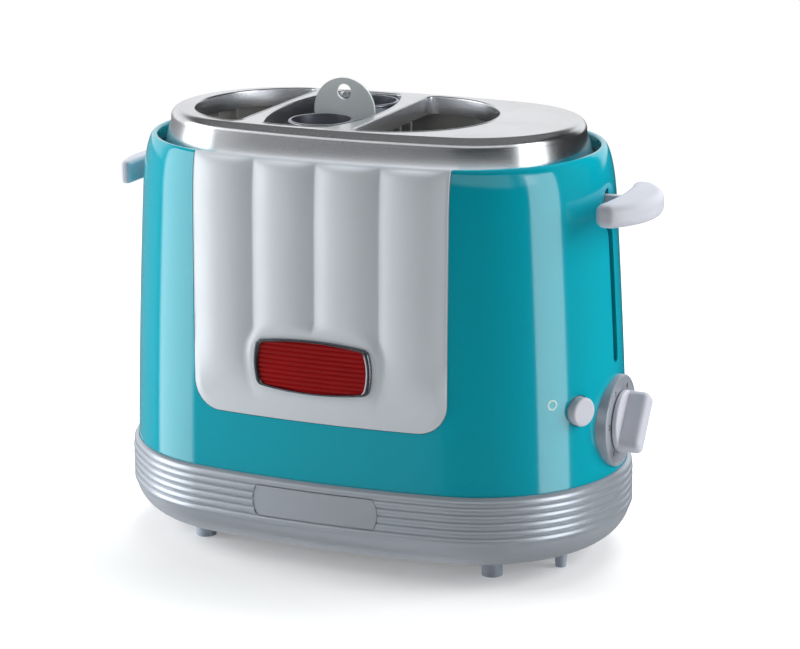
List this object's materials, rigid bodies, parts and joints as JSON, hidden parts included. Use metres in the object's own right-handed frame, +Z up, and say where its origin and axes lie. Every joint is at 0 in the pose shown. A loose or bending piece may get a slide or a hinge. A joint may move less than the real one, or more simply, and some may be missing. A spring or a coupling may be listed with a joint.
{
  "type": "hot dog toaster",
  "caption": "Oval pop-up toaster with D-shaped bun slots, a lift-out sausage cage between them, end levers, a timer dial and a ribbed base.",
  "frame": {"origin": "on the floor, under the middle of the whole toaster with its levers", "axes": "+X right along the length, towards the dial end; +Y back, away from the badge; +Z up"},
  "size_m": [0.295, 0.1656, 0.2414],
  "materials": {
    "base_silver": "satin metallic silver",
    "plate_grey": "satin pale grey",
    "floor_black": "matt black",
    "screw_steel": "bright",
    "foot_rubber": "grey",
    "frame_steel": "zinc plated",
    "body_turquoise": "glossy turquoise",
    "panel_white": "glossy cool white",
    "badge_chrome": "polished",
    "badge_red": "glossy red",
    "top_steel": "polished steel",
    "frame_dark": "dark turquoise",
    "oven_steel": "bright",
    "circuit_green": "green",
    "switch_black": "black",
    "dial_silver": "satin metallic silver",
    "core_iron": "laminated",
    "coil_copper": "enamelled wire",
    "terminal_white": "white",
    "knob_white": "glossy white",
    "cage_steel": "bright",
    "mica": "mica",
    "heater_ribbon": "dull",
    "bush_white": "nylon",
    "spring_steel": "bright"
  },
  "bodies": {
    "housing": {"base_shell": "base_silver", "name_plate": "plate_grey", "floor_plate": "floor_black", "base_screws": "screw_steel", "rubber_feet": "foot_rubber", "end_feet": "foot_rubber", "tie_posts": "frame_steel", "body_shell": "body_turquoise", "front_panel": "panel_white", "badge_bezel": "badge_chrome", "badge_insert": "badge_red", "top_plate": "top_steel", "top_frame": "frame_dark", "oven_wall": "oven_steel", "oven_rack": "oven_steel", "board_bracket": "frame_steel", "circuit_board": "circuit_green", "timer_pot": "frame_steel", "cancel_switch": "switch_black", "dial_ring": "dial_silver", "magnet_bracket": "frame_steel", "magnet_core": "core_iron", "magnet_coil": "coil_copper", "cord_gland": "switch_black", "terminal_block": "terminal_white", "heater_board_left_outer": "mica", "heater_board_left_inner": "mica", "heater_ribbons_left_outer": "heater_ribbon", "heater_ribbons_left_inner": "heater_ribbon", "guard_wires_left": "oven_steel", "guide_rod_left": "frame_steel", "return_spring_left": "spring_steel", "heater_board_right_outer": "mica", "heater_board_right_inner": "mica", "heater_ribbons_right_outer": "heater_ribbon", "heater_ribbons_right_inner": "heater_ribbon", "guard_wires_right": "oven_steel", "guide_rod_right": "frame_steel", "return_spring_right": "spring_steel"},
    "carriage": {"carriage_ring": "oven_steel", "carriage_bracket_left": "frame_steel", "carriage_bracket_right": "frame_steel", "guide_bushes_left": "bush_white", "guide_bushes_right": "bush_white", "bun_lift_left": "oven_steel", "bun_lift_right": "oven_steel", "cage_lift": "oven_steel", "lever_arm_left": "frame_steel", "lever_arm_right": "frame_steel", "lever_left": "knob_white", "lever_right": "knob_white", "latch_keeper": "core_iron"},
    "cage": {"cage_well_front": "cage_steel", "cage_well_back": "cage_steel", "cage_handle": "cage_steel"},
    "knob": {"timer_knob": "knob_white", "knob_shaft": "frame_steel"},
    "cancel": {"cancel_button": "knob_white"},
    "tray": {"crumb_tray": "base_silver"}
  },
  "joints": [
    {"name": "carriage_slide", "type": "slide", "parent": "housing", "child": "carriage", "axis": [0, 0, -1], "range_m": [0, 0.074], "stiffness_N_per_m": 90, "springref_m": -0.05, "deforming": ["return_spring_left", "return_spring_right"]},
    {"name": "cage_lift_out", "type": "slide", "parent": "carriage", "child": "cage", "axis": [0, 0, 1], "range_m": [0, 0.12]},
    {"name": "knob_turn", "type": "hinge", "parent": "housing", "child": "knob", "pos_m": [0.1294, 0, 0.075], "axis": [-1, 0, 0], "range_deg": [0, 288]},
    {"name": "cancel_press", "type": "slide", "parent": "housing", "child": "cancel", "axis": [-0.8988, 0.4384, 0], "range_m": [0, 0.0025], "stiffness_N_per_m": 400, "springref_m": -0.002},
    {"name": "tray_slide", "type": "slide", "parent": "housing", "child": "tray", "axis": [0, 1, 0], "range_m": [0, 0.1]}
  ]
}
